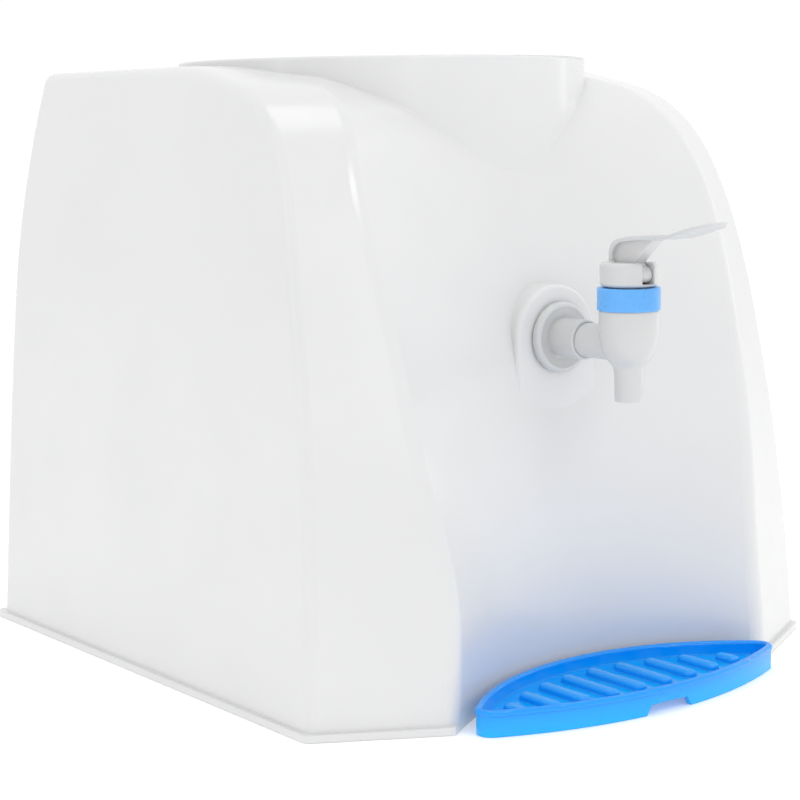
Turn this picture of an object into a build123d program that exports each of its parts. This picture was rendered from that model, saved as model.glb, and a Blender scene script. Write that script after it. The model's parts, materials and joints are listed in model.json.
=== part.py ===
"""Countertop bottled-water dispenser, built piece by piece.

Millimetres, +Z up.  The origin is on the counter, at the middle of the footprint: x = 0 is the plane
of symmetry, and y = 0 is halfway from the lever's tip (front, -Y) to the back of the foot (+Y).
"""

from build123d import *

import os
from math import cos, radians, sin, sqrt, tan

# ---------------------------------------------------------------- driving dimensions: housing
housing_width = 300.4  # across the side walls at the counter
housing_depth = 288.5  # side wall's front corner to the back wall, at the counter
deck_height = 286.0  # top deck above the counter
housing_wall = 2.6
side_lean = 0.066  # how much a side wall leans in for each millimetre of height
side_bend_height = 170.0  # above this the side wall curves in
side_bend_radius = 660.0
back_bend_height = 60.0  # above this the back wall curves in
back_bend_radius = 1950.0
face_angle = 29.0  # how far each pillar's face is turned forward, seen from above
edge_radius = 7.0  # corners and top edge of the side and back walls
nose_radius = 9.0  # rounded nose of each pillar, beside the recess
lip_height = 3.5
lip_proud = 1.8
lip_corner_radius = 3.0
side_bend_sweep = 16.0  # degrees; more than the bend uses
back_bend_sweep = 12.0
nose_inner_share = 0.4  # a nose lies between these shares of the half width
nose_outer_share = 0.76

# Setback of the pillar faces behind their foot, as (setback, share of the deck height)
pillar_line = [
    (0.0, 0.0), (3.8, 0.175), (10.4, 0.35), (20.3, 0.525), (33.8, 0.70), (46.1, 0.805),
    (59.5, 0.877), (73.5, 0.921), (93.5, 0.9565), (126.0, 0.983), (165.0, 1.0),
]
recess_stations = (-16, -10.5, -7, -3.5, 0, 3.5, 7, 10.5, 16)  # fifteenths of the half width
# The recess between the pillars: (share of the deck height, setback behind its foot, radius in plan)
recess_line = [
    (0.16, 1.0, 0.97), (0.36, 4.6, 1.42), (0.47, 8.0, 1.84), (0.56, 12.5, 2.1), (0.70, 24.0, 2.27),
    (0.80, 34.5, 2.34), (0.87, 43.5, 2.34), (0.915, 53.0, 2.34), (0.955, 71.0, 2.34),
    (0.98, 91.0, 2.34), (1.0, 125.0, 2.34), (1.02, 183.0, 2.34),
]

# ---------------------------------------------------------------- driving dimensions: bottle collar
collar_radius = 101.7
collar_top = 289.0
collar_centre = 142.9  # behind the side wall's front corner
collar_wall = 3.0
collar_draft = 1.0
collar_rim_radius = 1.3
ledge_depth = 18.0  # seat ledge below the collar's rim
ledge_width = 6.0
ledge_thickness = 3.0
plug_share = 0.6  # the collar's solid starts at this share of the deck height

# ---------------------------------------------------------------- driving dimensions: tap
tap_height = 160.2  # stem axis above the counter
tap_reach = 37.1  # spout axis in front of the side wall's front corner
pad_radius = 24.0
pad_face = 10.0  # pad's front face behind the side wall's front corner
pad_edge_radius = 2.4
pad_depth = 40.0  # runs back into the housing
stem_radius = 7.8
stem_bore_radius = 5.0
stem_end_chamfer = 0.8
sleeve_radius = 9.0
sleeve_front = 27.2  # sleeve's front end behind the spout axis
escutcheon_radius = 16.2
escutcheon_thickness = 3.8
escutcheon_floor = 2.0  # thickness where the dish meets the sleeve
escutcheon_bead = 2.0  # rounded rim of the flange
washer_thickness = 1.2
front_washer_radius = 14.4
nut_thickness = 6.0
nut_wall = 4.0
nut_lobes = 6
lobe_radius = 2.6
spout_drop = 25.2  # spout's mouth below the stem axis
spout_radius = 6.5
spout_bore_radius = 4.6
chamber_radius = 10.5
cup_radius = 13.2
cup_rise = 19.8  # cup's rim above the stem axis
seat_drop = 2.8  # valve seat below the stem axis
seat_lip_width = 1.2
seat_lip_height = 0.8
stopper_radius = 6.4
stopper_height = 2.2
rod_foot_radius = 4.6
rod_foot_height = 1.6
diaphragm_rim = 1.2  # thickness of the diaphragm's clamped rim
rim_ledge = 0.8  # width of the ledge the rim lies on
spring_wire = 0.9
spring_coil_radius = 4.2
spring_turns = 7
spring_pocket = 2.0  # depth of the pocket in the bonnet
ring_radius = 14.0
ring_bottom_rise = 15.4
ring_height = 10.1
ring_wall = 2.0
ring_roof = 1.5
ring_edge = 0.5
bonnet_radius = 12.85
bonnet_height = 10.7
bonnet_slot = 7.2
bonnet_gap = 0.4  # between the ring and the bonnet's head
bonnet_edge = 1.8
bonnet_neck_radius = 9.5
slot_back_reach = 8.2  # slot's closed end behind the spout axis
slot_drop = 4.1  # slot's floor below the hinge pin
lever_reach = 56.4  # lever's tip in front of the spout axis
lever_tip_rise = 55.6  # lever's tip above the stem axis
web_thickness = 6.6
flange_width = 10.6
paddle_width = 17.0
flange_thickness = 1.9
heel_back = 7.3  # flange's heel behind the spout axis
pin_radius = 1.5
pin_length = 15.0  # blind in the bonnet's ears
pin_offset = 7.5  # hinge pin in front of the spout axis
pin_rise = 31.3  # hinge pin above the stem axis
rod_radius = 2.5
blade_thickness = 3.0  # flat top of the rod, inside the lever's fork
blade_width = 4.2
blade_drop = 4.0  # blade's foot below the link pin
link_pin_radius = 1.0
lever_travel = 18.0  # degrees; the record's joint range repeats it

# ---------------------------------------------------------------- driving dimensions: reservoir
tank_width = 184.0
tank_depth = 190.0
tank_height = 96.0
tank_top = 218.0
tank_wall = 2.5
tank_corner_radius = 30.0
tank_front = 42.0  # behind the side wall's front corner
lid_thickness = 2.5
lug_spacing_x = 206.0
lug_spacing_y = 120.0
lug_radius = 8.0
lug_thickness = 4.0
post_radius = 6.0
boss_wall = 5.0  # round the outlet, outside the stem
tank_bottom_radius = 6.0
lid_skirt_depth = 6.0
lid_skirt_wall = 2.0
lid_collar_height = 9.0
lid_collar_wall = 6.0
seal_thickness = 4.0
seal_width = 3.4
screw_radius = 2.0
screw_length = 14.0
screw_head_radius = 3.8
screw_head_height = 2.4
screw_drive_radius = 0.9
screw_drive_depth = 1.4
neck_radius = 31.0  # pocket for the bottle's neck
neck_wall = 2.2
neck_bottom = 172.0
cone_bottom = 240.0
column_radius = 7.0
column_height = 62.0
column_wall = 2.0
column_nose_radius = 4.5
window_width = 4.0
window_height = 14.0
window_share = 0.72  # windows' foot, as a share of the column's height
seat_thickness = 3.0
slot_count = 6  # water slots in the seat's floor
slot_length = 14.0
slot_width = 6.0

# ---------------------------------------------------------------- driving dimensions: drip tray
tray_back_radius = 127.0
tray_front_radius = 200.0
tray_depth = 64.5
tray_height = 11.5
tray_tip_radius = 7.0
tray_gap = 3.0  # between the tray and the recess
tray_setback = 0.0  # tray's back edge behind the side wall's front corner
tray_rim_height = 2.4
tray_rim_proud = 0.5
tray_rim_rounding = 1.3
tray_wall = 3.2
tray_floor_bottom = 3.8
tray_floor = 1.5
rib_count = 9
rib_pitch = 16.3
rib_width = 6.6
rib_height = 3.2
rib_back_gap = 7.5  # inner face of the back wall to the ribs
rib_front_gap = 13.5
rib_front_radius = 410.0  # arc that the ribs' front ends lie on
rib_rounding = 2.2
notch_width = 27.0
notch_height = 4.4
notch_slope = 60.0
scoop_half_width = 12.0  # thumb scoop above the notch
scoop_depth = 1.2
scoop_top = 8.5

# ---------------------------------------------------------------- clearances
running_gap = 0.05  # radial, pin or rod in a hole
slip_gap = 0.2  # parts that lift or slide past each other
soft_gap = 0.3  # around soft seals
contact_gap = 0.05  # faces that meet but move apart

# ---------------------------------------------------------------- places that follow
half_width = housing_width / 2
back_y = (lip_proud + housing_depth + tap_reach + lever_reach) / 2 - lip_proud
corner_y = back_y - housing_depth
nose_y = corner_y - half_width * tan(radians(face_angle))
tap_y = corner_y - tap_reach
collar_y = corner_y + collar_centre
recess_radius = tray_back_radius + tray_gap
recess_y = corner_y + tray_setback + tray_gap
far = 2 * max(housing_width, housing_depth, deck_height)  # well outside the object

pad_y = corner_y + pad_face
nut_front_y = corner_y + tank_front + tank_wall + washer_thickness
sleeve_y = tap_y + sleeve_front
tank_front_y = corner_y + tank_front
tank_back_y = tank_front_y + tank_depth
tank_y = (tank_front_y + tank_back_y) / 2
seal_z = tank_top + seal_thickness
seat_z = tap_height - seat_drop
rod_bottom = seat_z + seat_lip_height + contact_gap + stopper_height
spring_bottom = rod_bottom + rod_foot_height
cup_top = tap_height + cup_rise
ring_bottom = tap_height + ring_bottom_rise
ring_top = ring_bottom + ring_height
bonnet_bottom = ring_top + bonnet_gap
bonnet_top = bonnet_bottom + bonnet_height
pin_y = tap_y - pin_offset
pin_z = tap_height + pin_rise
ledge_top = collar_top - ledge_depth
collar_inner = collar_radius - collar_wall

tray_back_y = corner_y + tray_setback
tray_front_y = tray_back_y - tray_depth

STANDING = (Align.CENTER, Align.CENTER, Align.MIN)


def section_across_y(y, z=0.0):
    """Upright plane across the object at depth y, facing the front: local x is X, local y is Z - z."""
    return Plane(origin=(0, y, z), x_dir=(1, 0, 0), z_dir=(0, -1, 0))


def finish(part, name):
    """Label one piece and write it."""
    part.label = name
    export_step(part, f"parts/{name}.step")
    print(f"{name:18s} solids {len(part.solids())}  volume {part.volume:10.1f} mm3")


# ================================================================ housing
def pillar_solid(inset):
    """Everything behind the right-hand pillar's turned face and under the deck, for x > 0."""
    shift = inset / cos(radians(face_angle))
    top = deck_height - inset
    points = [(nose_y + shift + setback, share * top) for setback, share in pillar_line]
    with BuildPart() as pillar:
        with BuildSketch(Plane.YZ):
            with BuildLine():
                face = Spline(*points, tangents=[(0.04, 1), (1, 0)])
                Polyline(face @ 1, (far, top), (far, 0), face @ 0)
            make_face()
        turned = (cos(radians(face_angle)), sin(radians(face_angle)), 0)
        extrude(amount=far, dir=turned)
    return pillar.part


def recess_solid(inset):
    """Everything in front of the dished recess between the pillars, moved back by inset."""
    levels = [(0.0, 0.0, 1.0)] + recess_line
    top = deck_height - inset
    with BuildPart() as recess:
        for station in recess_stations:
            x = station * half_width / 15
            points = [
                (recess_y + inset + setback - x**2 / (2 * bow * recess_radius), share * top)
                for share, setback, bow in levels
            ]
            with BuildSketch(Plane.YZ.offset(x)):
                with BuildLine():
                    face = Spline(*points, tangents=[(0.02, 1), (1, 0.12)])
                    end = face @ 1
                    Polyline(end, (end.X, far), (-far, far), (-far, 0), points[0])
                make_face()
        loft()
    return recess.part


def housing_form(inset):
    """The housing's outer solid without its collar, with every wall moved in by inset."""
    right = pillar_solid(inset)
    recess = recess_solid(inset)
    top = deck_height - inset
    with BuildPart() as form:
        with BuildSketch(Plane.XZ):
            with BuildLine():
                bend_x = half_width - inset - side_lean * side_bend_height
                lean = Line((half_width - inset, 0), (bend_x, side_bend_height))
                curve = JernArc(lean @ 1, lean % 1, side_bend_radius, side_bend_sweep)
                Polyline(curve @ 1, (0, (curve @ 1).Y), (0, 0), lean @ 0)
            make_face()
            mirror(about=Plane.YZ)
        extrude(amount=far, both=True)
        with BuildSketch(Plane.YZ):
            with BuildLine():
                upright = Line((back_y - inset, 0), (back_y - inset, back_bend_height))
                curve = JernArc(upright @ 1, upright % 1, back_bend_radius, back_bend_sweep)
                Polyline(curve @ 1, (-far, (curve @ 1).Y), (-far, 0), upright @ 0)
            make_face()
        extrude(amount=far, both=True, mode=Mode.INTERSECT)
        with BuildSketch(Plane.XY.offset(top)):
            Rectangle(3 * far, 3 * far)
        extrude(amount=far, mode=Mode.SUBTRACT)
    with BuildPart() as front:
        add(right)
        mirror(right, about=Plane.YZ)
    with BuildPart() as body:
        add(form.part)
        add(front.part, mode=Mode.INTERSECT)
        add(recess, mode=Mode.SUBTRACT)
    return body.part


def upper_edge(edge):
    """An edge of the side or back walls that runs up a corner or round the top."""
    middle = edge @ 0.5
    level = abs((edge @ 0).Z - (edge @ 1).Z) < 0.01
    if middle.Z < 1 or (level and middle.Z < deck_height - housing_wall - 1):
        return False
    top_of_side = min(abs((edge @ 0).X), abs((edge @ 1).X)) > half_width * nose_outer_share
    top_of_back = abs(middle.X) < 1 and middle.Y > collar_y
    return top_of_side or top_of_back


def nose_edge(edge):
    """The edge between a pillar's face and the recess."""
    middle = edge @ 0.5
    beside_recess = nose_inner_share < abs(middle.X) / half_width < nose_outer_share
    tall = abs((edge @ 0).Z - (edge @ 1).Z) > deck_height / 2
    return beside_recess and tall and middle.Z > deck_height / 3


def rounded_housing_form(inset):
    """The housing's form with its corners, top edges and noses rounded."""
    form = housing_form(inset)
    with BuildPart() as body:
        add(form)
        fillet(body.edges().filter_by(upper_edge), edge_radius - inset)
        fillet(body.edges().filter_by(nose_edge), nose_radius - inset)
    return body.part


def pad_solid(inset):
    """Upright pad behind the tap: a half round over straight sides, run back into the housing."""
    radius = pad_radius - inset
    with BuildPart() as pad:
        with BuildSketch(section_across_y(corner_y + pad_face + inset, tap_height)):
            Circle(radius)
            with Locations((0, -tap_height / 4)):
                Rectangle(2 * radius, tap_height / 2)
        extrude(amount=-pad_depth)
        if not inset:
            front_rim = pad.faces().sort_by(Axis.Y)[0].edges()
            fillet(front_rim, pad_edge_radius)
    return pad.part


def collar_solid(radius, bottom, top, draft=0.0):
    """Upright round plug on the collar's axis."""
    with BuildPart() as plug:
        with BuildSketch(Plane.XY.offset(top)):
            with Locations((0, collar_y)):
                Circle(radius)
        extrude(amount=bottom - top, taper=-draft)
    return plug.part


def foot_outline(grow):
    """Plan of the housing at the counter, as corner points from the back right round to the nose."""
    x = half_width + grow
    slope = tan(radians(face_angle))
    face_shift = grow / cos(radians(face_angle))
    front_corner_y = corner_y + grow * slope - face_shift
    return [(x, back_y + grow), (x, front_corner_y), (0, front_corner_y - x * slope)]


def lip_solid():
    """Flat lip that runs round the foot, apart from the recess."""
    right = foot_outline(lip_proud)
    left = [(-x, y) for x, y in reversed(right)][1:]
    with BuildPart() as lip:
        with BuildSketch():
            with BuildLine():
                Polyline(*right, *left, close=True)
            make_face()
        extrude(amount=lip_height)
        uprights = lip.edges().filter_by(Axis.Z).filter_by(lambda edge: abs((edge @ 0).X) > 1)
        fillet(uprights, lip_corner_radius)
    return lip.part


def screw_places():
    """Centres of the tank's four screws, in plan."""
    middle = corner_y + tank_front + tank_depth / 2
    return [
        (side * lug_spacing_x / 2, middle + end * lug_spacing_y / 2)
        for side in (-1, 1)
        for end in (-1, 1)
    ]


def housing_shell():
    """One-piece white moulding: walls, recess, tap pad, bottle collar, foot lip and screw posts."""
    outer = rounded_housing_form(0)
    inner = housing_form(housing_wall)
    outer_pad = pad_solid(0)
    inner_pad = pad_solid(housing_wall)
    recess = recess_solid(0)
    plug_bottom = deck_height * plug_share
    collar = collar_solid(collar_radius, plug_bottom, collar_top, collar_draft)
    collar_bore = collar_solid(collar_inner, plug_bottom, collar_top + 1)
    ledge_bottom = ledge_top - ledge_thickness
    collar_tube = collar_solid(collar_radius, ledge_bottom, deck_height)
    ledge = collar_solid(collar_inner, ledge_bottom, ledge_top)
    ledge_bore = collar_solid(collar_inner - ledge_width, ledge_top - 2 * ledge_thickness, collar_top + 1)
    lip = lip_solid()
    middle_of_wall = housing_form(housing_wall / 2)
    with BuildPart() as post_group:
        with BuildSketch(Plane.XY.offset(tank_top)):
            with Locations(*screw_places()):
                Circle(post_radius)
        extrude(amount=deck_height)
        add(middle_of_wall, mode=Mode.INTERSECT)
    with BuildPart() as shell:
        add(outer)
        add(lip)
        add(recess, mode=Mode.SUBTRACT)
        add(collar)
        rim = shell.edges().filter_by(GeomType.CIRCLE).sort_by(Axis.Z)[-1]
        fillet(rim, collar_rim_radius)
        add(outer_pad)
        add(inner, mode=Mode.SUBTRACT)
        add(inner_pad, mode=Mode.SUBTRACT)
        add(collar_tube)
        add(collar_bore, mode=Mode.SUBTRACT)
        add(ledge)
        add(ledge_bore, mode=Mode.SUBTRACT)
        add(post_group.part)
        with BuildSketch(section_across_y(corner_y + pad_face - 1, tap_height)):
            Circle(stem_radius + slip_gap)
        extrude(amount=-2 * housing_wall, mode=Mode.SUBTRACT)
        with Locations(*[(x, y, tank_top) for x, y in screw_places()]):
            Cylinder(screw_radius, screw_length, align=STANDING, mode=Mode.SUBTRACT)
    return shell.part


# ================================================================ reservoir
def rounded_box(width, depth, bottom, top, radius):
    """Upright rounded block on the tank's axis."""
    with BuildPart() as block:
        with BuildSketch(Plane.XY.offset(bottom)):
            with Locations((0, tank_y)):
                RectangleRounded(width, depth, radius)
        extrude(amount=top - bottom)
    return block.part


def reservoir_tank():
    """Open-topped tank with four screw lugs and the outlet boss that the tap's tail goes through."""
    bottom = tank_top - tank_height
    inner = rounded_box(
        tank_width - 2 * tank_wall,
        tank_depth - 2 * tank_wall,
        bottom + tank_wall,
        tank_top + 1,
        tank_corner_radius - tank_wall,
    )
    boss_front = pad_y + housing_wall + washer_thickness
    with BuildPart() as tank:
        add(rounded_box(tank_width, tank_depth, bottom, tank_top, tank_corner_radius))
        fillet(tank.faces().sort_by(Axis.Z)[0].edges(), tank_bottom_radius)
        with BuildSketch(Plane.XY.offset(tank_top - lug_thickness)):
            with Locations(*screw_places()):
                Circle(lug_radius)
            for x, y in screw_places():
                with Locations((x - lug_radius * x / abs(x), y)):
                    Rectangle(2 * lug_radius, 2 * lug_radius)
        extrude(amount=lug_thickness)
        with BuildSketch(section_across_y(boss_front, tap_height)):
            Circle(stem_radius + boss_wall)
        extrude(amount=-(tank_front_y + 1 - boss_front))
        add(inner, mode=Mode.SUBTRACT)
        with BuildSketch(section_across_y(boss_front - 1, tap_height)):
            Circle(stem_radius + slip_gap)
        extrude(amount=-(tank_front_y + tank_wall + 2 - boss_front), mode=Mode.SUBTRACT)
        with Locations(*[(x, y, tank_top - lug_thickness) for x, y in screw_places()]):
            Cylinder(
                screw_radius + slip_gap, lug_thickness, align=STANDING, mode=Mode.SUBTRACT
            )
    return tank.part


def tank_lid():
    """Flat cover with a skirt inside the tank and a raised collar round the bottle seat's tube."""
    tube_radius = neck_radius + neck_wall
    with BuildPart() as lid:
        add(rounded_box(tank_width, tank_depth, tank_top, tank_top + lid_thickness, tank_corner_radius))
        skirt = tank_wall + slip_gap
        inner = skirt + lid_skirt_wall
        add(
            rounded_box(
                tank_width - 2 * skirt,
                tank_depth - 2 * skirt,
                tank_top - lid_skirt_depth,
                tank_top,
                tank_corner_radius - skirt,
            )
        )
        add(
            rounded_box(
                tank_width - 2 * inner,
                tank_depth - 2 * inner,
                tank_top - lid_skirt_depth,
                tank_top,
                tank_corner_radius - inner,
            ),
            mode=Mode.SUBTRACT,
        )
        with BuildSketch(Plane.XY.offset(tank_top)):
            with Locations((0, collar_y)):
                Circle(tube_radius + lid_collar_wall)
        extrude(amount=lid_collar_height)
        with BuildSketch(Plane.XY.offset(tank_top - 1)):
            with Locations((0, collar_y)):
                Circle(tube_radius + 1)
        extrude(amount=2 * lid_collar_height, mode=Mode.SUBTRACT)
        with BuildSketch(Plane.XY.offset(seal_z)):
            with Locations((0, collar_y)):
                Circle(tube_radius + seal_width + soft_gap / 3)
        extrude(amount=2 * lid_collar_height, mode=Mode.SUBTRACT)
    return lid.part


def neck_seal():
    """Soft ring that lies in the lid's collar, round the bottle seat's tube."""
    tube_radius = neck_radius + neck_wall
    with BuildPart() as seal:
        with BuildSketch(Plane.XY.offset(seal_z)):
            with Locations((0, collar_y)):
                Circle(tube_radius + seal_width)
                Circle(tube_radius + soft_gap, mode=Mode.SUBTRACT)
        extrude(amount=seal_thickness)
        fillet(seal.faces().sort_by(Axis.Z)[-1].edges(), 1)
    return seal.part


def tank_screws():
    """Four pan-head screws, driven up through the tank's lugs into the housing's posts."""
    lug_bottom = tank_top - lug_thickness
    with BuildPart() as screws:
        with Locations(*[(x, y, lug_bottom) for x, y in screw_places()]):
            Cylinder(screw_radius - running_gap, screw_length, align=STANDING)
        with Locations(*[(x, y, lug_bottom - screw_head_height) for x, y in screw_places()]):
            Cylinder(screw_head_radius, screw_head_height, align=STANDING)
            Cylinder(screw_drive_radius, screw_drive_depth, align=STANDING, mode=Mode.SUBTRACT)
    return screws.part


# ================================================================ bottle seat
def bottle_seat():
    """Funnel that carries the bottle's shoulder, with the pocket for its neck."""
    rim = collar_inner - slip_gap
    floor = neck_bottom
    top = ledge_top + contact_gap
    cone_rim = collar_inner - ledge_width - 1
    with BuildPart() as seat:
        with BuildSketch(Plane.XZ.offset(-collar_y)):
            with BuildLine():
                Polyline(
                    (neck_radius + neck_wall, floor),
                    (neck_radius + neck_wall, cone_bottom),
                    (cone_rim - seat_thickness, top - 1),
                    (cone_rim, top),
                    (rim, top),
                    (rim, top + seat_thickness),
                    (cone_rim - seat_thickness - 1, top + seat_thickness),
                    (neck_radius + 1, cone_bottom + seat_thickness),
                    (neck_radius, cone_bottom),
                    (neck_radius, floor + seat_thickness),
                    (0, floor + seat_thickness),
                    (0, floor),
                    close=True,
                )
            make_face()
        revolve(axis=Axis((0, collar_y, 0), (0, 0, 1)))
        with BuildSketch(Plane.XY.offset(floor)):
            with Locations((0, collar_y)):
                Circle(column_radius - column_wall)
                with PolarLocations((neck_radius + column_radius) / 2, slot_count):
                    SlotOverall(slot_length, slot_width, rotation=90)
        extrude(amount=seat_thickness, mode=Mode.SUBTRACT)
    return seat.part


def guide_column():
    """Hollow spike that opens the bottle's plug and lets water out through its windows."""
    foot = neck_bottom + seat_thickness
    bore = column_radius - column_wall
    with BuildPart() as column:
        with Locations((0, collar_y, foot)):
            Cylinder(column_radius, column_height, align=STANDING)
        fillet(column.faces().sort_by(Axis.Z)[-1].edges(), column_nose_radius)
        with Locations((0, collar_y, foot - seat_thickness)):
            Cylinder(bore - running_gap, seat_thickness, align=STANDING)
        with Locations((0, collar_y, foot)):
            Cylinder(bore, column_height - 2 * column_wall, align=STANDING, mode=Mode.SUBTRACT)
            Cylinder(bore, column_wall / 2, align=STANDING)
        with Locations((0, collar_y, foot + column_height * window_share)):
            Box(3 * column_radius, window_width, window_height, mode=Mode.SUBTRACT)
            Box(window_width, 3 * column_radius, window_height, mode=Mode.SUBTRACT)
        with Locations((0, collar_y, foot - seat_thickness)):
            Cylinder(bore - column_wall / 2, 2 * seat_thickness, align=STANDING, mode=Mode.SUBTRACT)
    return column.part


# ================================================================ tap, fixed pieces
def spout_axis():
    return Axis((0, tap_y, 0), (0, 0, 1))


def tap_body():
    """Cup, spout and threaded stem in one moulding, bored through from the stem to the spout."""
    mouth = tap_height - spout_drop
    neck = mouth + 13
    with BuildPart() as body:
        with BuildSketch(Plane.XZ.offset(-tap_y)):
            with BuildLine():
                wall = Polyline(
                    (0, mouth), (spout_radius - 0.3, mouth), (spout_radius + 0.1, neck)
                )
                shoulder = Spline(
                    wall @ 1,
                    (spout_radius + 3.1, tap_height - 6.5),
                    (cup_radius - 0.5, tap_height + 2),
                    (cup_radius, ring_bottom - 4),
                    tangents=[(0.03, 1), (0, 1)],
                )
                Polyline(
                    shoulder @ 1,
                    (cup_radius, ring_bottom - contact_gap),
                    (ring_radius - ring_wall, ring_bottom - contact_gap),
                    (ring_radius - ring_wall, cup_top),
                    (0, cup_top),
                    (0, mouth),
                )
            make_face()
        revolve(axis=spout_axis())
        with BuildSketch(section_across_y(tap_y + 6, tap_height)):
            Circle(stem_radius)
        tail_end = nut_front_y + nut_thickness + 2
        extrude(amount=-(tail_end - tap_y - 6))
        chamfer(body.faces().sort_by(Axis.Y)[-1].edges(), stem_end_chamfer)
        with Locations((0, tap_y, seat_z)):
            Cylinder(chamber_radius, cup_top, align=STANDING, mode=Mode.SUBTRACT)
        with Locations((0, tap_y, seat_z)):
            Cylinder(spout_bore_radius + seat_lip_width, seat_lip_height, align=STANDING)
        with Locations((0, tap_y, mouth - 1)):
            Cylinder(spout_bore_radius, cup_top - mouth, align=STANDING, mode=Mode.SUBTRACT)
        with Locations((0, tap_y, cup_top - diaphragm_rim)):
            Cylinder(
                chamber_radius + rim_ledge, 2 * diaphragm_rim, align=STANDING, mode=Mode.SUBTRACT
            )
        with BuildSketch(section_across_y(tap_y + 7, tap_height + 0.6)):
            Circle(stem_bore_radius)
        extrude(amount=-(tail_end - tap_y), mode=Mode.SUBTRACT)
    return body.part


def tap_escutcheon():
    """Sleeve and dished round flange that cover the stem's way through the pad."""
    back = pad_y - washer_thickness
    flange_front = back - escutcheon_thickness
    with BuildPart() as escutcheon:
        with BuildSketch(Plane.XY.offset(tap_height)):
            with BuildLine():
                sleeve = Polyline(
                    (stem_radius + running_gap, back),
                    (stem_radius + running_gap, sleeve_y),
                    (sleeve_radius - 0.5, sleeve_y),
                    (sleeve_radius, sleeve_y + 0.5),
                    (sleeve_radius, back - escutcheon_floor),
                )
                bead = (escutcheon_radius - escutcheon_bead, flange_front)
                dish = Line(sleeve @ 1, (bead[0] - 1.5, flange_front + 0.8))
                crown = TangentArc(dish @ 1, bead, tangent=dish % 1)
                edge = ThreePointArc(
                    crown @ 1,
                    (escutcheon_radius - 0.3 * escutcheon_bead, flange_front + 0.3 * escutcheon_bead),
                    (escutcheon_radius, flange_front + escutcheon_bead),
                )
                Polyline(edge @ 1, (escutcheon_radius, back), sleeve @ 0)
            make_face()
        revolve(axis=Axis((0, 0, tap_height), (0, 1, 0)))
    return escutcheon.part


def flat_ring(front, thickness, outer, inner, edge=0.0):
    """Washer on the stem's axis, from front backwards."""
    with BuildPart() as ring:
        with BuildSketch(section_across_y(front, tap_height)):
            Circle(outer)
            Circle(inner, mode=Mode.SUBTRACT)
        extrude(amount=-thickness)
        if edge:
            fillet(ring.edges().filter_by(GeomType.CIRCLE).sort_by(SortBy.RADIUS)[-2:], edge)
    return ring.part


def tap_lock_nut():
    """Nut inside the tank, with six finger lobes."""
    with BuildPart() as nut:
        with BuildSketch(section_across_y(nut_front_y, tap_height)):
            Circle(stem_radius + nut_wall)
            with PolarLocations(stem_radius + nut_wall - 1, nut_lobes):
                Circle(lobe_radius)
            Circle(stem_radius + running_gap, mode=Mode.SUBTRACT)
        extrude(amount=-nut_thickness)
    return nut.part


def bonnet_ring():
    """Coloured cap ring that holds the bonnet down on the cup."""
    with BuildPart() as ring:
        with Locations((0, tap_y, ring_bottom)):
            Cylinder(ring_radius, ring_height, align=STANDING)
        fillet(ring.faces().sort_by(Axis.Z)[-1].edges(), ring_edge)
        fillet(ring.faces().sort_by(Axis.Z)[0].edges(), ring_edge)
        with Locations((0, tap_y, ring_bottom)):
            Cylinder(
                ring_radius - ring_wall + running_gap,
                ring_height - ring_roof,
                align=STANDING,
                mode=Mode.SUBTRACT,
            )
            Cylinder(
                bonnet_neck_radius + running_gap, ring_height, align=STANDING, mode=Mode.SUBTRACT
            )
    return ring.part


def bonnet():
    """Round slotted head: two ears that hold the lever's pin over the rod's guide hole."""
    flange_top = ring_top - ring_roof - running_gap
    slot_floor = pin_z - slot_drop
    with BuildPart() as head:
        with Locations((0, tap_y, bonnet_bottom)):
            Cylinder(bonnet_radius, bonnet_height, align=STANDING)
        fillet(head.faces().sort_by(Axis.Z)[-1].edges(), bonnet_edge)
        fillet(head.faces().sort_by(Axis.Z)[0].edges(), bonnet_edge)
        with Locations((0, tap_y, cup_top)):
            Cylinder(bonnet_neck_radius, bonnet_bottom + 1 - cup_top, align=STANDING)
            Cylinder(ring_radius - ring_wall, flange_top - cup_top, align=STANDING)
        slot_front = tap_y - bonnet_radius - 1
        slot_back = tap_y + slot_back_reach
        with Locations((0, (slot_front + slot_back) / 2, slot_floor)):
            Box(bonnet_slot, slot_back - slot_front, far, align=STANDING, mode=Mode.SUBTRACT)
        with Locations((0, tap_y, cup_top)):
            Cylinder(rod_radius + running_gap, far, align=STANDING, mode=Mode.SUBTRACT)
            Cylinder(
                spring_coil_radius + 2 * spring_wire + soft_gap,
                spring_pocket,
                align=STANDING,
                mode=Mode.SUBTRACT,
            )
        with Locations(Location((0, pin_y, pin_z), (0, 90, 0))):
            Cylinder(pin_radius, pin_length, mode=Mode.SUBTRACT)
    return head.part


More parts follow.
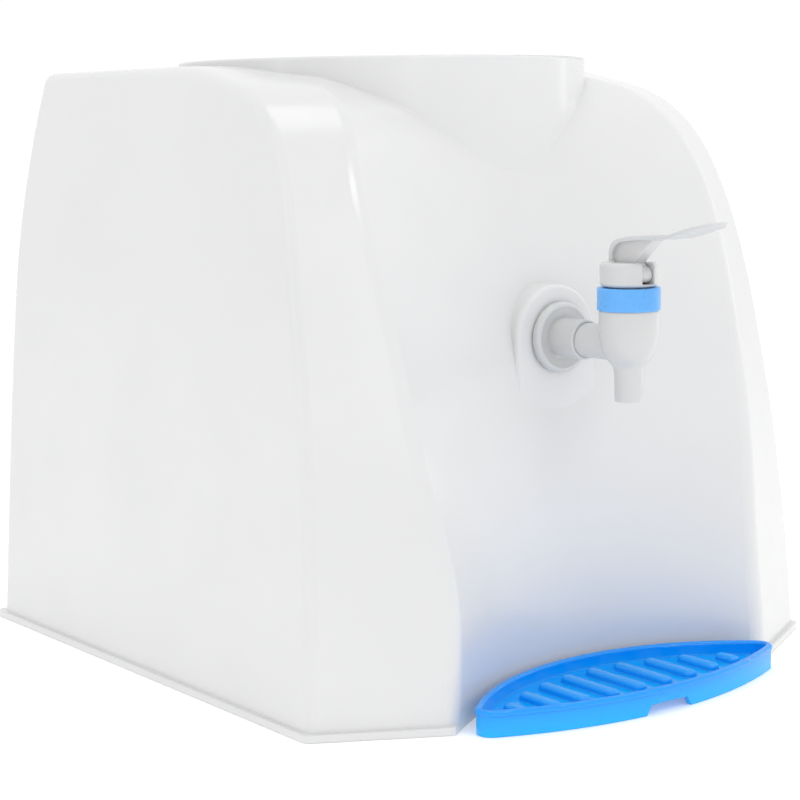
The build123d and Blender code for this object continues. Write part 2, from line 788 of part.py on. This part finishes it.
# ================================================================ tap, moving pieces
def lever():
    """Lever: thin web from the pin up to a curved flange that widens into the finger paddle."""
    tip_z = tap_height + lever_tip_rise
    tip_y = tap_y - lever_reach
    heel_y = tap_y + heel_back
    thin = flange_thickness
    with BuildPart() as side:
        with BuildSketch(Plane.YZ):
            with BuildLine():
                rise = Line((heel_y, bonnet_top + 0.5), (heel_y, bonnet_top + 3.2))
                bend = TangentArc(rise @ 1, (tap_y + 0.2, bonnet_top + 10.5), tangent=(0, 1))
                run = [(14.0, 12.2), (30.0, 13.0), (44.0, 16.4)]
                upper = [(tap_y - y, bonnet_top + z) for y, z in run]
                lower = [(tap_y - y + 0.2, bonnet_top + z - thin) for y, z in reversed(run)]
                top_line = Spline(bend @ 1, *upper, (tip_y, tip_z))
                end = Line(top_line @ 1, (tip_y + 0.3, tip_z - thin))
                under_line = Spline(end @ 1, *lower, (tap_y + 0.5, bonnet_top + 10.5 - thin))
                inner_bend = TangentArc(
                    under_line @ 1, (heel_y - thin, bonnet_top + 3.2), tangent=under_line % 1
                )
                Polyline(inner_bend @ 1, (heel_y - thin, bonnet_top + 0.5), rise @ 0)
            make_face()
        extrude(amount=paddle_width / 2, both=True)
    with BuildPart() as outline:
        with BuildSketch(Plane.XY.offset(bonnet_bottom)):
            with BuildLine():
                edge = Spline(
                    (flange_width / 2, tap_y - 12),
                    (flange_width / 2 + 1.0, tap_y - 24),
                    (paddle_width / 2, tap_y - 43),
                    (0, tap_y - lever_reach - 0.02),
                    tangents=[(0, -1), (-1, 0)],
                )
                Polyline(edge @ 0, (flange_width / 2, tap_y + 15), (0, tap_y + 15), edge @ 1)
            make_face()
            mirror(about=Plane.YZ)
        extrude(amount=far)
    with BuildPart() as web:
        with BuildSketch(Plane.YZ):
            with BuildLine():
                Polyline(
                    (tap_y - 6.6, bonnet_top),
                    (tap_y - 19.5, bonnet_top + 11.2),
                    (tap_y - 8, bonnet_top + 11.2),
                    (tap_y + 2, bonnet_top + 9),
                    (tap_y + 5.6, bonnet_top + 5),
                    (tap_y + 5.6, bonnet_bottom + 6),
                    (tap_y + 3.6, pin_z - 2.6),
                    (pin_y, pin_z - 2.6),
                    (pin_y - 3.6, pin_z),
                    close=True,
                )
            make_face()
            with Locations((pin_y, pin_z)):
                Circle(3.7)
        extrude(amount=web_thickness / 2, both=True)
        with BuildSketch(Plane.YZ):
            with Locations((pin_y, pin_z)):
                Circle(pin_radius + running_gap)
            with Locations((tap_y - 0.2, pin_z)):
                SlotCenterToCenter(0.9, 2 * (link_pin_radius + slip_gap))
        extrude(amount=web_thickness, both=True, mode=Mode.SUBTRACT)
        with Locations((0, tap_y + 0.9, pin_z - 4)):
            Box(3.6, 9.4, 8.2, align=STANDING, mode=Mode.SUBTRACT)
    with BuildPart() as whole:
        add(side.part)
        add(outline.part, mode=Mode.INTERSECT)
        add(web.part)
    return whole.part


def cross_pin(y, z, radius, length):
    """Short steel pin across the tap."""
    with BuildPart() as pin:
        with Locations(Location((0, y, z), (0, 90, 0))):
            Cylinder(radius, length)
        chamfer(pin.edges().filter_by(GeomType.CIRCLE), radius * 0.2)
    return pin.part


def valve_rod():
    """Rod from the stopper up to a flat blade that the link pin goes through."""
    bottom = rod_bottom
    with BuildPart() as rod:
        with Locations((0, tap_y, bottom)):
            Cylinder(rod_radius, pin_z - blade_drop - bottom, align=STANDING)
            Cylinder(rod_foot_radius, rod_foot_height, align=STANDING)
        with Locations((0, tap_y, pin_z - blade_drop)):
            Box(blade_thickness, blade_width, 1.5 * blade_drop, align=STANDING)
        with Locations(Location((0, tap_y, pin_z), (0, 90, 0))):
            Cylinder(link_pin_radius, 2 * rod_radius + 2, mode=Mode.SUBTRACT)
    return rod.part


def valve_stopper():
    """Soft plug on the rod's foot that closes the valve seat."""
    with BuildPart() as stopper:
        with Locations((0, tap_y, seat_z + seat_lip_height + contact_gap)):
            Cylinder(stopper_radius, stopper_height, align=STANDING)
        fillet(stopper.faces().sort_by(Axis.Z)[0].edges(), stopper_height / 4)
        with Locations((0, tap_y, rod_bottom)):
            Cylinder(rod_foot_radius + 1, rod_foot_height - 2 * slip_gap, align=STANDING)
            Cylinder(rod_foot_radius, rod_foot_height, align=STANDING, mode=Mode.SUBTRACT)
    return stopper.part


def valve_spring():
    """Compression spring round the rod, between its foot and the bonnet."""
    wire = spring_wire / 2
    bottom = spring_bottom + wire + contact_gap
    top = cup_top + spring_pocket - wire - contact_gap
    pitch = (top - bottom) / spring_turns
    with BuildPart() as spring:
        with BuildLine():
            path = Helix(pitch=pitch, height=top - bottom, radius=spring_coil_radius)
        with BuildSketch(Plane(origin=path @ 0, z_dir=path % 0)):
            Circle(wire)
        sweep()
    return spring.part.moved(Location((0, tap_y, bottom)))


def valve_diaphragm():
    """Thin soft bell round the spring that keeps water out of the bonnet."""
    foot = spring_bottom
    rim = cup_top - diaphragm_rim
    inner = spring_coil_radius + spring_wire
    skin = diaphragm_rim
    outer = chamber_radius + rim_ledge - slip_gap / 2
    with BuildPart() as bell:
        with BuildSketch(Plane.XZ.offset(-tap_y)):
            with BuildLine():
                Polyline(
                    (inner, foot),
                    (inner + 1.3 * skin, foot),
                    (chamber_radius - skin, rim),
                    (outer, rim),
                    (outer, cup_top),
                    (chamber_radius - 1.8 * skin, cup_top),
                    (inner + 0.6 * skin, foot + skin),
                    (inner, foot + skin),
                    close=True,
                )
            make_face()
        revolve(axis=spout_axis())
    return bell.part


# ================================================================ drip tray
def tray_plan(plane, inset):
    """Lens between two arcs with rounded tips, moved in by inset; returned as a sketch."""
    with BuildSketch(plane) as plan:
        with Locations((0, tray_back_y - tray_back_radius)):
            Circle(tray_back_radius - inset)
        with Locations((0, tray_front_y + tray_front_radius)):
            Circle(tray_front_radius - inset, mode=Mode.INTERSECT)
        fillet(plan.vertices(), tray_tip_radius - inset)
    return plan.sketch


def arc_sag(radius, x):
    """How far an arc has curved away from its apex at x."""
    return radius - sqrt(radius**2 - x**2)


def rib_span(x):
    """Front and back ends of the rib at x."""
    back_edge = tray_back_y - tray_wall - arc_sag(tray_back_radius - tray_wall, x)
    front_edge = tray_front_y + tray_wall + arc_sag(rib_front_radius, x)
    return front_edge + rib_front_gap, back_edge - rib_back_gap


def drip_tray():
    """Lens-shaped tray: basin with round-topped ribs, a rounded rim and a finger notch in front."""
    floor_top = tray_floor_bottom + tray_floor
    rib_root = floor_top - tray_floor / 2
    rim_bottom = tray_height - tray_rim_height
    scoop_radius = (scoop_half_width**2 + scoop_depth**2) / (2 * scoop_depth)
    with BuildPart() as tray:
        extrude(tray_plan(Plane.XY, tray_rim_proud), amount=tray_height)
        extrude(tray_plan(Plane.XY.offset(rim_bottom), 0), amount=tray_rim_height)
        extrude(tray_plan(Plane.XY.offset(floor_top), tray_wall), amount=far, mode=Mode.SUBTRACT)
        fillet(tray.faces().sort_by(Axis.Z)[-1].edges(), tray_rim_rounding)
        extrude(tray_plan(Plane.XY, tray_wall), amount=tray_floor_bottom, mode=Mode.SUBTRACT)
        for index in range(rib_count):
            x = (index - (rib_count - 1) / 2) * rib_pitch
            start, end = rib_span(x)
            with BuildSketch(Plane.XY.offset(rib_root)):
                with Locations((x, (start + end) / 2)):
                    SlotOverall(end - start, rib_width, rotation=90)
            extrude(amount=floor_top + rib_height - rib_root)
        rib_top = floor_top + rib_height
        rib_faces = tray.faces().filter_by(Axis.Z).filter_by_position(Axis.Z, rib_top, rib_top)
        fillet(rib_faces.edges(), rib_rounding)
        with BuildSketch(section_across_y(tray_front_y)):
            Trapezoid(notch_width, notch_height, notch_slope, align=(Align.CENTER, Align.MIN))
        extrude(amount=-(tray_wall + 1), mode=Mode.SUBTRACT)
        scoop_y = tray_front_y + tray_rim_proud + scoop_depth - scoop_radius
        with Locations((0, scoop_y, scoop_top - scoop_half_width)):
            Sphere(scoop_radius, mode=Mode.SUBTRACT)
    return tray.part


# ================================================================ the whole dispenser
def build_all():
    """Build, label and write every piece."""
    os.makedirs("parts", exist_ok=True)
    tank_inner_face = tank_front_y + tank_wall
    pad_back = pad_y + housing_wall
    finish(housing_shell(), "housing_shell")
    finish(reservoir_tank(), "reservoir_tank")
    finish(tank_lid(), "tank_lid")
    finish(neck_seal(), "neck_seal")
    finish(tank_screws(), "tank_screws")
    finish(bottle_seat(), "bottle_seat")
    finish(guide_column(), "guide_column")
    finish(tap_body(), "tap_body")
    finish(tap_escutcheon(), "tap_escutcheon")
    hole = stem_radius + running_gap
    front_washer = flat_ring(pad_y - washer_thickness, washer_thickness, front_washer_radius, hole, 0.3)
    finish(front_washer, "front_washer")
    boss_gasket = flat_ring(pad_back, washer_thickness, stem_radius + boss_wall, hole)
    finish(boss_gasket, "boss_gasket")
    tank_washer = flat_ring(tank_inner_face, washer_thickness, stem_radius + boss_wall, hole)
    finish(tank_washer, "tank_washer")
    finish(tap_lock_nut(), "tap_lock_nut")
    finish(bonnet_ring(), "bonnet_ring")
    finish(bonnet(), "bonnet")
    finish(lever(), "lever")
    finish(cross_pin(pin_y, pin_z, pin_radius, pin_length), "lever_pin")
    finish(cross_pin(tap_y, pin_z, link_pin_radius, web_thickness - 2 * slip_gap), "link_pin")
    finish(valve_rod(), "valve_rod")
    finish(valve_stopper(), "valve_stopper")
    finish(valve_spring(), "valve_spring")
    finish(valve_diaphragm(), "valve_diaphragm")
    finish(drip_tray(), "drip_tray")


build_all()
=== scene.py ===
# %% [markdown]
# # A countertop water dispenser
# The solid parts come ready-made from the CAD model.  This lesson gives each one its finish, and then
# lights the dispenser on a plain pale floor.  No shapes are added here.
# Everything is in metres, with Z up and the tap towards -Y.

import json
import math

import bmesh
import bpy
from mathutils import Matrix, Vector


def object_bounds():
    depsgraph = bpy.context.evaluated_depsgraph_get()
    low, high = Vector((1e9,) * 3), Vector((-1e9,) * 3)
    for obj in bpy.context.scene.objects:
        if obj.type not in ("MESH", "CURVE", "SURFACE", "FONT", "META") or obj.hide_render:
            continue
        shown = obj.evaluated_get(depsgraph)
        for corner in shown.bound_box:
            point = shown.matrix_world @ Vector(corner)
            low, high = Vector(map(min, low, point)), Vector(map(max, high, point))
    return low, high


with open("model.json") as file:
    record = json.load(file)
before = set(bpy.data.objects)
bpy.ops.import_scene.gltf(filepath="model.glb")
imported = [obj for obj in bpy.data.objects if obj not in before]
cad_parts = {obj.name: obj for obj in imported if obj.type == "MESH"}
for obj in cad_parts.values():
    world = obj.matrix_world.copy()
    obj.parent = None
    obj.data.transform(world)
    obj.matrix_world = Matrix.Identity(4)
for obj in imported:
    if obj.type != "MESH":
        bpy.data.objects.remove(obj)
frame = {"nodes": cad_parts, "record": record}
cad_low, cad_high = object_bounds()

# %% [markdown]
# ## A plastic finish made of layers
# A moulded part is never one flat colour.  Its skin has a fine grain from the tool, broad soft waves
# where the wall shrank and patches that are a little duller where hands touch it, and its edges get a
# paler colour painted on as a highlight.  Each of those could be painted on an image, but a procedural
# node pattern has no seams and works at any size, so every layer here is a noise texture read in object
# space.
#
# Real mouldings have no sharp corners either.  Cutting a tiny round into every edge would cost a lot of
# mesh, so a bevel node bends the shading round each edge instead.  Where its normal leaves the face's own
# normal there is an edge, and that difference also serves as the mask for the painted edge highlight, a
# paler colour laid along every edge.

# %% Helpers for node patterns
def add_noise(nodes, links, place, scale, detail=2.0, roughness=0.5):
    """Noise with this many features per metre; returns its value output."""
    noise = nodes.new("ShaderNodeTexNoise")
    noise.inputs["Scale"].default_value = scale
    noise.inputs["Detail"].default_value = detail
    noise.inputs["Roughness"].default_value = roughness
    links.new(place, noise.inputs["Vector"])
    return noise.outputs["Fac"]


def remap(nodes, links, value, low, high, new_low, new_high):
    """Stretch a value from one range to another."""
    node = nodes.new("ShaderNodeMapRange")
    node.inputs["From Min"].default_value = low
    node.inputs["From Max"].default_value = high
    node.inputs["To Min"].default_value = new_low
    node.inputs["To Max"].default_value = new_high
    links.new(value, node.inputs["Value"])
    return node.outputs["Result"]


def blend_colours(nodes, links, factor, first, second):
    """Two colours, or colour outputs, mixed by a value."""
    mix = nodes.new("ShaderNodeMix")
    mix.data_type = "RGBA"
    links.new(factor, mix.inputs["Factor"])
    for socket, colour in ((mix.inputs["A"], first), (mix.inputs["B"], second)):
        if isinstance(colour, tuple):
            socket.default_value = (*colour, 1.0)
        else:
            links.new(colour, socket)
    return mix.outputs["Result"]


def add_bump(nodes, links, height, depth, strength, below=None):
    """Bump of this depth in metres, laid over an earlier bump."""
    bump = nodes.new("ShaderNodeBump")
    bump.inputs["Distance"].default_value = depth
    bump.inputs["Strength"].default_value = strength
    links.new(height, bump.inputs["Height"])
    if below is not None:
        links.new(below, bump.inputs["Normal"])
    return bump.outputs["Normal"]


def round_edges(nodes, links, radius):
    """Shading rounded by this radius, and a mask that is 1 along the edges."""
    bevel = nodes.new("ShaderNodeBevel")
    bevel.samples = 6
    bevel.inputs["Radius"].default_value = radius
    face = nodes.new("ShaderNodeNewGeometry").outputs["Normal"]
    along = nodes.new("ShaderNodeVectorMath")
    along.operation = "DOT_PRODUCT"
    links.new(bevel.outputs["Normal"], along.inputs[0])
    links.new(face, along.inputs[1])
    return bevel.outputs["Normal"], remap(nodes, links, along.outputs["Value"], 0.995, 0.9, 0, 1)


# %% One recipe for every moulded plastic
plastic_ior = 1.5
cloud_scale = 14  # features per metre
patch_scale = 35
wave_scale = 9
glow_depth = 0.004  # metres that light travels under the skin


def moulded_plastic(
    name, colour, shade, edge_highlight, roughness, grain, grain_depth, wave_depth, glow=0.0, rounding=0.0006
):
    """Plastic with cloudy tone, a painted highlight of paler colour along the edges, dull patches, fine
    grain and soft moulding waves.
    """
    material = bpy.data.materials.new(name)
    material.use_nodes = True
    nodes = material.node_tree.nodes
    links = material.node_tree.links
    shader = nodes["Principled BSDF"]
    shader.inputs["IOR"].default_value = plastic_ior
    place = nodes.new("ShaderNodeTexCoord").outputs["Object"]
    cloud = remap(nodes, links, add_noise(nodes, links, place, cloud_scale, 3), 0.35, 0.65, 0, 1)
    tone = blend_colours(nodes, links, cloud, colour, shade)
    rounded, edge_highlight_mask = round_edges(nodes, links, rounding)
    # painted highlight: the edge colour is laid along every edge by the bevel mask
    links.new(blend_colours(nodes, links, edge_highlight_mask, tone, edge_highlight), shader.inputs["Base Color"])
    patches = add_noise(nodes, links, place, patch_scale, 4, 0.6)
    dull = remap(nodes, links, patches, 0.3, 0.7, roughness * 0.82, roughness * 1.25)
    links.new(dull, shader.inputs["Roughness"])
    waves = add_noise(nodes, links, place, wave_scale, 1)
    skin = add_noise(nodes, links, place, grain, 2)
    soft = add_bump(nodes, links, waves, wave_depth, 0.5, rounded)
    links.new(add_bump(nodes, links, skin, grain_depth, 0.35, soft), shader.inputs["Normal"])
    if glow:
        shader.inputs["Subsurface Weight"].default_value = glow
        shader.inputs["Subsurface Scale"].default_value = glow_depth
        shader.inputs["Subsurface Radius"].default_value = (0.6, 0.8, 1.0)
    print("finish:", name)
    return material


def paint_floor_light_on_foot(material, height, colour):
    """Painted floor light: the colour turns paler toward the foot, as where floor light reaches the thin
    coloured wall.
    """
    nodes = material.node_tree.nodes
    links = material.node_tree.links
    shader = nodes["Principled BSDF"]
    upper = shader.inputs["Base Color"].links[0].from_socket
    place = nodes.new("ShaderNodeSeparateXYZ")
    links.new(nodes["Texture Coordinate"].outputs["Object"], place.inputs["Vector"])
    # painted floor light: the mask is 1 at the foot and 0 at the given height
    low = remap(nodes, links, place.outputs["Z"], 0.0, height, 1, 0)
    links.new(blend_colours(nodes, links, low, upper, colour), shader.inputs["Base Color"])


# %% [markdown]
# ## Which plastic goes where
# The housing is a dense glossy white, the tap a greyer and more translucent one, and its ring a light
# blue.  The tray is thin coloured plastic; its foot is painted a little paler than its rim, as painted
# floor light.  Hidden parts are of unpainted natural plastic and the seals of silicone.  Every one could
# have its own node tree, but one recipe with different values keeps them a family.

# %% The plastics of the dispenser
white_shell = moulded_plastic(
    "white shell", (0.725, 0.726, 0.728), (0.71, 0.711, 0.714), (0.80, 0.80, 0.80),
    0.20, 1800, 0.000004, 0.0005, 0.06, 0.0009
)
tap_plastic = moulded_plastic(
    "tap plastic", (0.62, 0.623, 0.626), (0.59, 0.593, 0.597), (0.72, 0.72, 0.72),
    0.22, 2600, 0.000003, 0.0002, 0.25, 0.0010
)
ring_blue = moulded_plastic(
    "light blue plastic", (0.12, 0.42, 0.90), (0.10, 0.38, 0.85), (0.28, 0.58, 0.96),
    0.28, 2600, 0.000003, 0.0001, 0.15
)
tray_blue = moulded_plastic(
    "blue tray plastic", (0.002, 0.27, 0.93), (0.002, 0.25, 0.90), (0.004, 0.20, 0.86),
    0.12, 2200, 0.000002, 0.0001, 0.25, 0.0010
)


tray_wall_height = 0.015
# painted floor light: the tray wall turns this paler blue toward its foot
paint_floor_light_on_foot(tray_blue, tray_wall_height, (0.003, 0.46, 1.0))
natural_plastic = moulded_plastic(
    "natural plastic", (0.72, 0.74, 0.74), (0.66, 0.68, 0.69), (0.84, 0.85, 0.85),
    0.42, 1500, 0.00003, 0.0008, 0.3
)
seat_plastic = moulded_plastic(
    "seat plastic", (0.80, 0.81, 0.82), (0.76, 0.77, 0.78), (0.88, 0.88, 0.88),
    0.32, 1800, 0.00002, 0.0006, 0.15
)
silicone = moulded_plastic(
    "silicone", (0.62, 0.62, 0.60), (0.54, 0.54, 0.52), (0.74, 0.74, 0.72),
    0.55, 1200, 0.00004, 0.0003, 0.4
)


# %% [markdown]
# ## Steel for the pins, the spring and the screws
# Drawn wire and turned pins carry very fine scratches.  A noise stretched along one direction makes
# them, and the same noise drives both roughness and bump so the two agree.

# %% Steel
def drawn_steel(name, colour, dark, roughness):
    """Metal with fine stretched scratches and duller patches."""
    material = bpy.data.materials.new(name)
    material.use_nodes = True
    nodes = material.node_tree.nodes
    links = material.node_tree.links
    shader = nodes["Principled BSDF"]
    shader.inputs["Metallic"].default_value = 1.0
    place = nodes.new("ShaderNodeTexCoord").outputs["Object"]
    stretch = nodes.new("ShaderNodeMapping")
    stretch.inputs["Scale"].default_value = (60, 2600, 2600)
    links.new(place, stretch.inputs["Vector"])
    lines = add_noise(nodes, links, stretch.outputs["Vector"], 1, 3)
    spots = remap(nodes, links, add_noise(nodes, links, place, 300, 3), 0.35, 0.65, 0, 1)
    links.new(blend_colours(nodes, links, spots, colour, dark), shader.inputs["Base Color"])
    rough = remap(nodes, links, lines, 0.3, 0.7, roughness * 0.7, roughness * 1.4)
    links.new(rough, shader.inputs["Roughness"])
    links.new(add_bump(nodes, links, lines, 0.00001, 0.4), shader.inputs["Normal"])
    print("finish:", name)
    return material


pin_steel = drawn_steel("pin steel", (0.62, 0.62, 0.63), (0.50, 0.50, 0.52), 0.28)
screw_steel = drawn_steel("screw steel", (0.55, 0.56, 0.58), (0.42, 0.43, 0.46), 0.36)

# %% [markdown]
# ## Dress the parts
# Each part of the CAD model says which slot of finish it wants.  The list of slots is matched by name, so
# a new part only needs a slot and no new code.

# %% Give every part its finish
finishes = {
    "white_shell": white_shell,
    "natural_plastic": natural_plastic,
    "seat_plastic": seat_plastic,
    "silicone": silicone,
    "screw_steel": screw_steel,
    "pin_steel": pin_steel,
    "tap_plastic": tap_plastic,
    "ring_blue": ring_blue,
    "tray_blue": tray_blue,
}
for part in frame["record"]["subparts"]:
    piece = frame["nodes"][part["node"]]
    piece.data.materials.clear()
    piece.data.materials.append(finishes[part["material_slot"]])

# %% [markdown]
# ## The studio
# A white product on a white floor needs light from nearly everywhere, so the world is a bright white
# that is a little softer behind the viewer.  One big lamp could light it too, but then the shell would
# look flat.  Narrow bright strips at the left, the front and the right draw the thin highlights along
# the rounded edges, and two panels above shape the shade under the tap and its flange.

# %% Floor and world
floor_reach = 30
floor_gap = 0.0002  # keeps the floor off the dispenser's foot


def white_floor():
    """Pale floor, wide enough to fill the view."""
    material = bpy.data.materials.new("pale floor")
    material.use_nodes = True
    nodes = material.node_tree.nodes
    links = material.node_tree.links
    place = nodes.new("ShaderNodeTexCoord").outputs["Object"]
    cloud = add_noise(nodes, links, place, 1.5, 2)
    paper = blend_colours(nodes, links, cloud, (0.93, 0.93, 0.93), (0.95, 0.95, 0.95))
    links.new(paper, nodes["Principled BSDF"].inputs["Base Color"])
    shader = nodes["Principled BSDF"]
    shader.inputs["Roughness"].default_value = 0.7
    shader.inputs["Emission Color"].default_value = (1, 1, 1, 1)
    shader.inputs["Emission Strength"].default_value = 0.22
    sheet = bmesh.new()
    bmesh.ops.create_grid(sheet, x_segments=2, y_segments=2, size=floor_reach)
    bmesh.ops.translate(sheet, verts=sheet.verts, vec=(0, 0, -floor_gap))
    mesh = bpy.data.meshes.new("floor")
    sheet.to_mesh(mesh)
    sheet.free()
    mesh.materials.append(material)
    floor = bpy.data.objects.new("floor", mesh)
    bpy.context.collection.objects.link(floor)


def light_in_studio(tree):
    """White cyclorama: brightest behind the dispenser and overhead, softer behind the viewer."""
    background = tree.nodes["Background"]
    direction = tree.nodes.new("ShaderNodeTexCoord").outputs["Generated"]
    along = tree.nodes.new("ShaderNodeVectorMath")
    along.operation = "DOT_PRODUCT"
    along.inputs[1].default_value = (0.42, 0.80, 0.42)
    tree.links.new(direction, along.inputs[0])
    strength = remap(tree.nodes, tree.links, along.outputs["Value"], -0.9, 0.5, 0.78, 1.03)
    tree.links.new(strength, background.inputs["Strength"])
    background.inputs["Color"].default_value = (1, 1, 1, 1)


white_floor()
world = bpy.data.worlds.new("studio")
bpy.context.scene.world = world
world.use_nodes = True
light_in_studio(world.node_tree)


# %% Soft panels
def soft_panel(name, place, aim, width, height, watts):
    """Rectangular area light that faces a point."""
    lamp = bpy.data.lights.new(name, "AREA")
    lamp.shape = "RECTANGLE"
    lamp.size = width
    lamp.size_y = height
    lamp.energy = watts
    panel = bpy.data.objects.new(name, lamp)
    panel.location = place
    panel.rotation_euler = (Vector(aim) - Vector(place)).to_track_quat("-Z", "Y").to_euler()
    bpy.context.collection.objects.link(panel)


centre = ((cad_low[0] + cad_high[0]) / 2, 0, (cad_low[2] + cad_high[2]) / 2)
soft_panel("left strip", (-1.8, 0.1, 0.9), centre, 0.10, 1.4, 1.3)
soft_panel("front strip", (-0.7, -1.9, 1.0), centre, 0.12, 1.2, 1.4)
soft_panel("right strip", (1.9, -0.2, 0.8), centre, 0.16, 1.2, 1.0)
soft_panel("high front panel", (0.1, -1.3, 1.5), centre, 0.7, 0.4, 3.6)
soft_panel("top panel", (0.0, 0.1, 1.9), centre, 0.7, 0.7, 3.0)

# %% [markdown]
# ## The camera
# It stands at the left of the tap, a little above the middle, and looks slightly down.  Its heading,
# tilt and roll are turned into three axes, which fill the camera's matrix directly.

# %% Camera
heading, tilt, roll = math.radians(36.928), math.radians(7.918), math.radians(-0.793)
forward = Vector(
    (math.sin(heading) * math.cos(tilt), math.cos(heading) * math.cos(tilt), -math.sin(tilt))
)
level = Vector((math.cos(heading), -math.sin(heading), 0))
upright = level.cross(forward)
right = level * math.cos(roll) + upright * math.sin(roll)
up = upright * math.cos(roll) - level * math.sin(roll)
lens = bpy.data.cameras.new("camera")
lens.lens = 90.73
lens.sensor_width = 36
lens.clip_end = 100
camera = bpy.data.objects.new("camera", lens)
turn = Matrix((right, up, -forward)).transposed().to_4x4()
camera.matrix_world = Matrix.Translation((-0.6117, -0.7810, 0.2599)) @ turn
bpy.context.collection.objects.link(camera)
bpy.context.scene.camera = camera
bpy.context.scene.view_settings.view_transform = "Standard"
